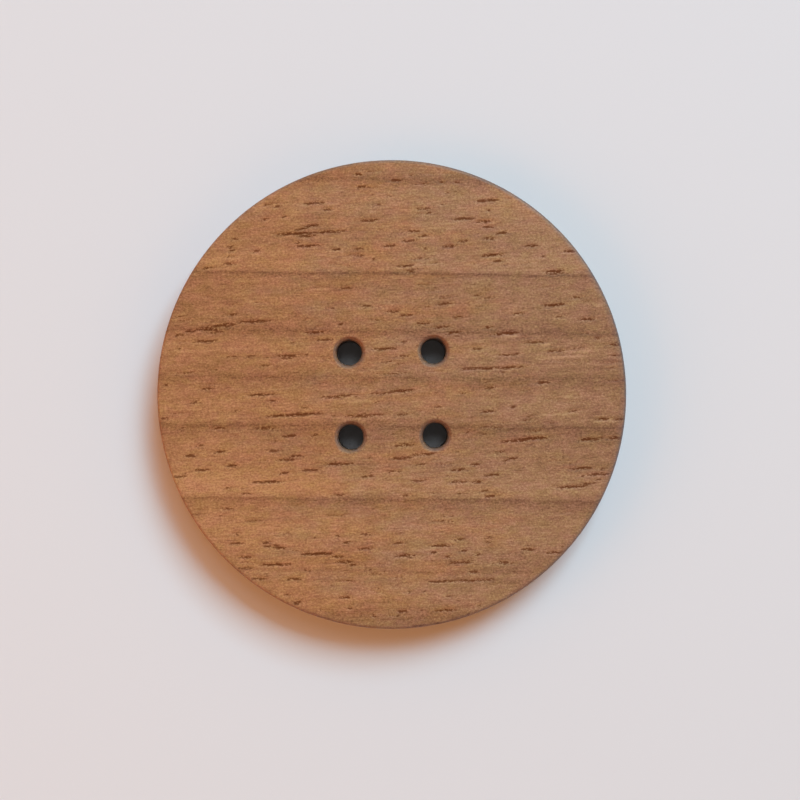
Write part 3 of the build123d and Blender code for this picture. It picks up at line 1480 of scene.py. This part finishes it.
        skin.add_grid(tube, self.layout.strip(Part.BORE, number, *tube.shape), smooth=False)

    @staticmethod
    def closed(grid: np.ndarray) -> np.ndarray:
        """Repeats a ring grid's first column after its last."""
        return np.concatenate([grid, grid[:, :1]], axis=1)

    @staticmethod
    def add_level_rings(skin: Skin, rings: np.ndarray, height: float, part: Part) -> np.ndarray:
        """Adds flat rings at one height.

        Args:
            skin: The skin to add to.
            rings: The rings' points, with x and y in the last axis.
            height: Their height.
            part: The part that they lie on.

        Returns:
            Their point numbers.
        """
        level = np.full((*rings.shape[:2], 1), height)
        return skin.add_points(np.concatenate([rings, level], axis=-1), part)

    def hole_distance(self, face: np.ndarray) -> np.ndarray:
        """Gives each point's distance from the nearest mouth, less than 0 inside it.

        Args:
            face: Points, one a row, with x and y.

        Returns:
            One distance a point.
        """
        return np.linalg.norm(face[:, None] - self.hole_middles, axis=2).min(axis=1) - self.mouth_radius

    def rim_distance(self, face: np.ndarray) -> np.ndarray:
        """Gives each point's distance from the nearest edge of the flat face.

        Args:
            face: Points, one a row, with x and y.

        Returns:
            One distance a point.
        """
        outer = self.flat_radius - np.hypot(face[:, 0], face[:, 1])
        return np.minimum(outer, self.hole_distance(face))

    def pore_shares(self, points: np.ndarray) -> np.ndarray:
        """Works out how deep in a pore each point lies. Down an edge, pores fade from the nearer face.

        Args:
            points: Points, one a row.

        Returns:
            One share a point.
        """
        shares = np.zeros(len(points))
        middle = self.thickness / 2.0
        for pores, near_side, height in (
            (self.figure.front_pores(), points[:, 2] > middle, self.thickness),
            (self.figure.back_face_pores(), points[:, 2] <= middle, 0.0),
        ):
            chosen = np.flatnonzero(near_side)
            below = np.abs(points[chosen, 2] - height)
            shares[chosen] = pores.strength_at(points[chosen, :2]) * np.exp(-below / self.edge_round)
        return shares

    def face_depth(self, points: np.ndarray) -> np.ndarray:
        """Gives how far each point lies below the nearer face."""
        return np.minimum(points[:, 2], self.thickness - points[:, 2])

    def edge_shares(self, points: np.ndarray) -> np.ndarray:
        """Works out how much the cut has scorched each point, from 0 on a face.

        The outer arris is dark from the face's edge on, and the wall below it only a little, both by a
        share that follows the cosine of the bearing from where the edge is darkest; that change round
        the outline is painted shade over the cut's scorch. A bore is dark all through, its slope is
        half as dark, and its mouth less still: the cut's scorch, with painted shade deep in the bore.

        Args:
            points: Points, one a row.

        Returns:
            One share a point.
        """
        down = self.face_depth(points) / self.edge_round
        wall = smooth_step((down - self.wall_from) / self.wall_fade)
        arris = self.arris_char + (1.0 - self.arris_char) * smooth_step(down / self.arris_fade)
        rim = arris * (1.0 - (1.0 - self.wall_char) * wall)
        # Painted shade: the edge is darkest towards one bearing and lightest on the far side
        bearing = np.arctan2(points[:, 1], points[:, 0]) - math.radians(self.scorch_and_shade_bearing_deg)
        rim *= self.scorch_and_shade_least + (1.0 - self.scorch_and_shade_least) * (1.0 + np.cos(bearing)) / 2.0
        depth = self.face_depth(points) / self.countersink
        slope = smooth_step(depth / self.mouth_fade)
        inside = smooth_step((depth - self.bore_from) / self.bore_fade)
        bore = self.mouth_char + (self.slope_char - self.mouth_char) * slope
        # Deep in the bore the darkness is the cut's scorch together with painted shade
        bore += (self.bore_char_and_shade - self.slope_char) * inside
        on_rim = np.hypot(points[:, 0], points[:, 1]) > self.flat_radius - self.touch
        in_bore = self.hole_distance(points[:, :2]) < self.touch
        return np.select([on_rim, in_bore], [rim, bore], 0.0)

    def wall_shares(self, points: np.ndarray, parts: np.ndarray) -> np.ndarray:
        """Works out how far down a wall each point lies: 0 on a face, 1 once below the arris.

        Args:
            points: Points, one a row.
            parts: The part that each lies on.

        Returns:
            One share a point.
        """
        on_wall = np.isin(parts, (Part.RIM.value, Part.BORE.value))
        return smooth_step(self.face_depth(points) / self.edge_round) * on_wall

    def build(self) -> bpy.types.Object:
        """Builds the skin, cuts its pores and dresses it.

        Returns:
            The button, riding on the body and standing for its solid.
        """
        skin = Skin()
        grid = self.face_grid()
        front_rim, front_collars = self.add_face(skin, Part.FRONT, grid)
        back_rim, back_collars = self.add_face(skin, Part.BACK, grid)
        self.add_rim(skin, front_rim, back_rim)
        for number, (front, back) in enumerate(zip(front_collars, back_collars)):
            self.add_bore(skin, number, front, back)
        points, parts = skin.gathered()
        on_front = parts == Part.FRONT.value
        on_back = parts == Part.BACK.value

        pore = self.pore_shares(points)
        fade = smooth_step(self.rim_distance(points[:, :2]) / self.pore_rim_fade)
        cut = self.pore_depth * np.clip(pore, 0.0, self.pore_strongest) * fade
        carved = points.copy()
        carved[:, 2] += cut * (on_back * 1.0 - on_front)

        # Painted highlights: the pale streaks beside the pores lighten the front
        pale = self.figure.placed(PORE_HIGHLIGHTS).strength_at(points[:, :2])
        # A painted gradient of light and shade is taken off the rings' shade
        shade = self.figure.ring_shade(points, self.thickness) - self.figure.painted_light_drift(points)
        shade -= self.figure.highlight_gain * pale * on_front
        mesh = skin.to_mesh(PIECE, carved)
        self.write_attribute(mesh, "ring_shade", shade)
        self.write_attribute(mesh, "pore", pore)
        self.write_attribute(mesh, "cut_edge", self.edge_shares(points))
        self.write_attribute(mesh, "wall", self.wall_shares(points, parts))
        mesh.materials.append(self.finish.material())
        button = bpy.data.objects.new(PIECE, mesh)
        bpy.context.scene.collection.objects.link(button)
        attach(button, "root")
        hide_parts(NODE)
        return button

    @staticmethod
    def write_attribute(mesh: bpy.types.Mesh, name: str, values: np.ndarray) -> None:
        """Writes one number a point into the mesh.

        Args:
            mesh: The mesh.
            name: The attribute's name.
            values: The numbers.
        """
        mesh.attributes.new(name, "FLOAT", "POINT").data.foreach_set("value", values.astype(np.float32))


@dataclass(frozen=True)
class Lamp:
    """One soft square lamp, aimed at the button."""

    name: str
    bearing_deg: float
    height_deg: float
    distance: float
    side: float
    power: float
    colour: tuple[float, float, float]

    def build(self, aim: Vector) -> bpy.types.Object:
        """Hangs the lamp.

        Args:
            aim: The point that it is aimed at, in metres.

        Returns:
            The lamp.
        """
        light = bpy.data.lights.new(self.name, "AREA")
        light.size = self.side
        light.energy = self.power
        light.color = self.colour
        lamp = bpy.data.objects.new(self.name, light)
        bearing, height = math.radians(self.bearing_deg), math.radians(self.height_deg)
        away = Vector((
            math.cos(height) * math.cos(bearing),
            math.cos(height) * math.sin(bearing),
            math.sin(height),
        ))
        lamp.location = aim + away * self.distance
        lamp.rotation_euler = (-away).to_track_quat("-Z", "Y").to_euler()
        bpy.context.scene.collection.objects.link(lamp)
        return lamp


@dataclass
class Studio:
    """The pale floor, the soft light and the camera above the button.

    The floor's half side and the lamps' sizes are in metres, the lens and the sensor in their own
    millimetres, and the trims move the picture by as many pixels.
    """

    button: WoodenButton
    photo: PhotoFrame
    floor_finish: FloorFinish
    floor_half_side: float = 0.6
    key_lamp: Lamp = Lamp(
        "key_lamp", bearing_deg=58.8, height_deg=47.0, distance=1.6, side=0.77,
        power=28.8, colour=(0.405, 0.78, 1.0),
    )
    warm_lamp: Lamp = Lamp(
        "warm_lamp", bearing_deg=195.0, height_deg=32.0, distance=0.4, side=0.25,
        power=0.28, colour=(1.0, 0.38, 0.12),
    )
    high_lamp: Lamp = Lamp(
        "high_lamp", bearing_deg=85.0, height_deg=68.0, distance=1.2, side=0.32,
        power=1.04, colour=(0.88, 0.95, 1.0),
    )
    sky_low: Colour = (0.755, 0.335, 0.115, 1.0)
    sky_high: Colour = (0.12, 0.12, 0.12, 1.0)
    sky_fade: tuple[float, float] = (0.7, 0.95)
    sky_seen: Colour = (0.80, 0.80, 0.81, 1.0)
    lens: float = 70.0
    sensor: float = 36.0
    near_clip: float = 0.005
    lean_deg: float = 1.0
    lean_bearing_deg: float = 225.0
    trim_right: float = 1.0
    trim_down: float = 0.4

    def build_floor(self) -> bpy.types.Object:
        """Lays the floor: a flat square, its two parameters running from edge to edge.

        Returns:
            The floor.
        """
        side = np.linspace(-self.floor_half_side, self.floor_half_side, 2)
        x, y = np.meshgrid(side, side)
        points = np.stack([x, y, np.zeros_like(x)], axis=-1).reshape(-1, 3)
        mesh = bpy.data.meshes.new("floor")
        mesh.from_pydata(points.tolist(), [], [(0, 1, 3, 2)])
        mesh.materials.append(self.floor_finish.material())
        floor = bpy.data.objects.new("floor", mesh)
        bpy.context.scene.collection.objects.link(floor)
        return floor

    def build_lamps(self) -> None:
        """Hangs a broad cool lamp on the upper right, a weak warm one low on the left and a small
        one high up, which reaches down into the bores.
        """
        aim = Vector((0.0, 0.0, self.button.thickness * MM))
        for lamp in (self.key_lamp, self.warm_lamp, self.high_lamp):
            lamp.build(aim)

    def build_sky(self) -> bpy.types.World:
        """Builds the sky, which is warm and dim, and dimmer overhead where the camera hangs.

        Seen by the camera, in reflections and through glass, it is pale.

        Returns:
            The sky.
        """
        world = bpy.data.worlds.new("plain_sky")
        n = Nodes(world)
        height = n.add("SeparateXYZ")
        n.put(height.inputs[0], n.add("TexCoord").outputs["Generated"])
        overhead = n.spread(height.outputs["Z"], *self.sky_fade)
        light = n.tree.nodes["Background"]
        n.put(light.inputs["Color"], n.mix(overhead, self.sky_low, self.sky_high))
        seen = n.add("Background")
        n.put(seen.inputs["Color"], self.sky_seen)
        path = n.add("LightPath")
        looked_at = path.outputs["Is Camera Ray"]
        for kind in ("Is Glossy Ray", "Is Transmission Ray"):
            looked_at = n.maths("MAXIMUM", looked_at, path.outputs[kind])
        choice = n.add("MixShader")
        n.put(choice.inputs[0], looked_at)
        n.put(choice.inputs[1], light.outputs[0])
        n.put(choice.inputs[2], seen.outputs[0])
        n.put(n.tree.nodes["World Output"].inputs["Surface"], choice.outputs[0])
        bpy.context.scene.world = world
        return world

    def build_camera(self) -> bpy.types.Object:
        """Sets the camera so that the button's outline has the photograph's size, place and turn.

        The distance is the lens over half the sensor, times half the frame as it lies in the plane
        where the disc is widest, at the foot of the upper arris.
        The aim is off the button's middle by as much as the outline is off the frame's middle, and
        by the trims.

        Returns:
            The camera.
        """
        scale = self.photo.outline_radius / self.button.radius
        half_frame = self.photo.side / 2.0
        distance = half_frame / scale * self.lens / (self.sensor / 2.0)
        right, up = self.photo.axes()
        aside = (half_frame - self.photo.centre_column - self.trim_right) / scale
        below = (half_frame - self.photo.centre_row - self.trim_down) / scale
        widest = self.button.thickness - self.button.edge_round
        aim = Vector((*(right * aside - up * below), widest)) * MM
        lean, bearing = math.radians(self.lean_deg), math.radians(self.lean_bearing_deg)
        away = Vector((
            math.sin(lean) * math.cos(bearing),
            math.sin(lean) * math.sin(bearing),
            math.cos(lean),
        ))
        across = Vector((*up, 0.0)).cross(away).normalized()
        upright = away.cross(across)
        data = bpy.data.cameras.new("camera")
        data.lens = self.lens
        data.sensor_width = self.sensor
        data.clip_start = self.near_clip
        camera = bpy.data.objects.new("camera", data)
        turn = Matrix((across, upright, away)).transposed()
        camera.matrix_world = Matrix.Translation(aim + away * distance * MM) @ turn.to_4x4()
        bpy.context.scene.collection.objects.link(camera)
        bpy.context.scene.camera = camera
        return camera

    def build(self) -> None:
        """Builds the floor, the light and the camera, and sets how colours are shown."""
        self.build_floor()
        self.build_lamps()
        self.build_sky()
        self.build_camera()
        bpy.context.scene.view_settings.view_transform = "Standard"


def main() -> None:
    """Builds the button and its studio in order, and reports each piece."""
    logging.basicConfig(level=logging.INFO, format="%(name)s: %(message)s")
    photo = PhotoFrame()
    button = WoodenButton.from_frame(photo, WalnutFinish())
    piece = button.build()
    LOG.info("%s: %d points, %d faces", piece.name, len(piece.data.vertices), len(piece.data.polygons))
    Studio(button, photo, FloorFinish()).build()
    LOG.info("floor, lamps and camera are in place")


if __name__ == "__main__":
    main()
